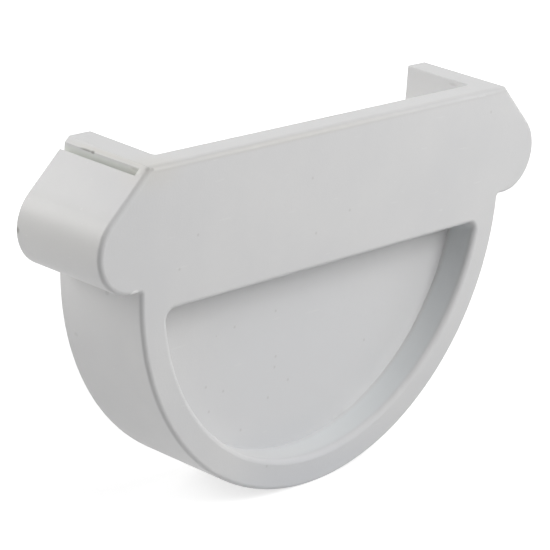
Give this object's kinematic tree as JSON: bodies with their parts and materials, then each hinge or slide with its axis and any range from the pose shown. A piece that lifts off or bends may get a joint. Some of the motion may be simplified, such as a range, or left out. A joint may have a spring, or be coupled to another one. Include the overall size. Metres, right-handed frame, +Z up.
{
  "type": "gutter end cap",
  "caption": "Half-round gutter end cap in moulded rigid PVC: a short stub of the gutter section with rolled side lips, closed in front by a wall with a sunken half-round panel.",
  "frame": {"origin": "where the axis of the half-round bowl meets the front face", "axes": "+X across the gutter, +Y from the front face into the run, +Z up as fitted"},
  "size_m": [0.1122, 0.0195, 0.0671],
  "materials": {
    "upvc": "satin moulded"
  },
  "bodies": {
    "root": {"end_cap": "upvc"}
  },
  "joints": []
}
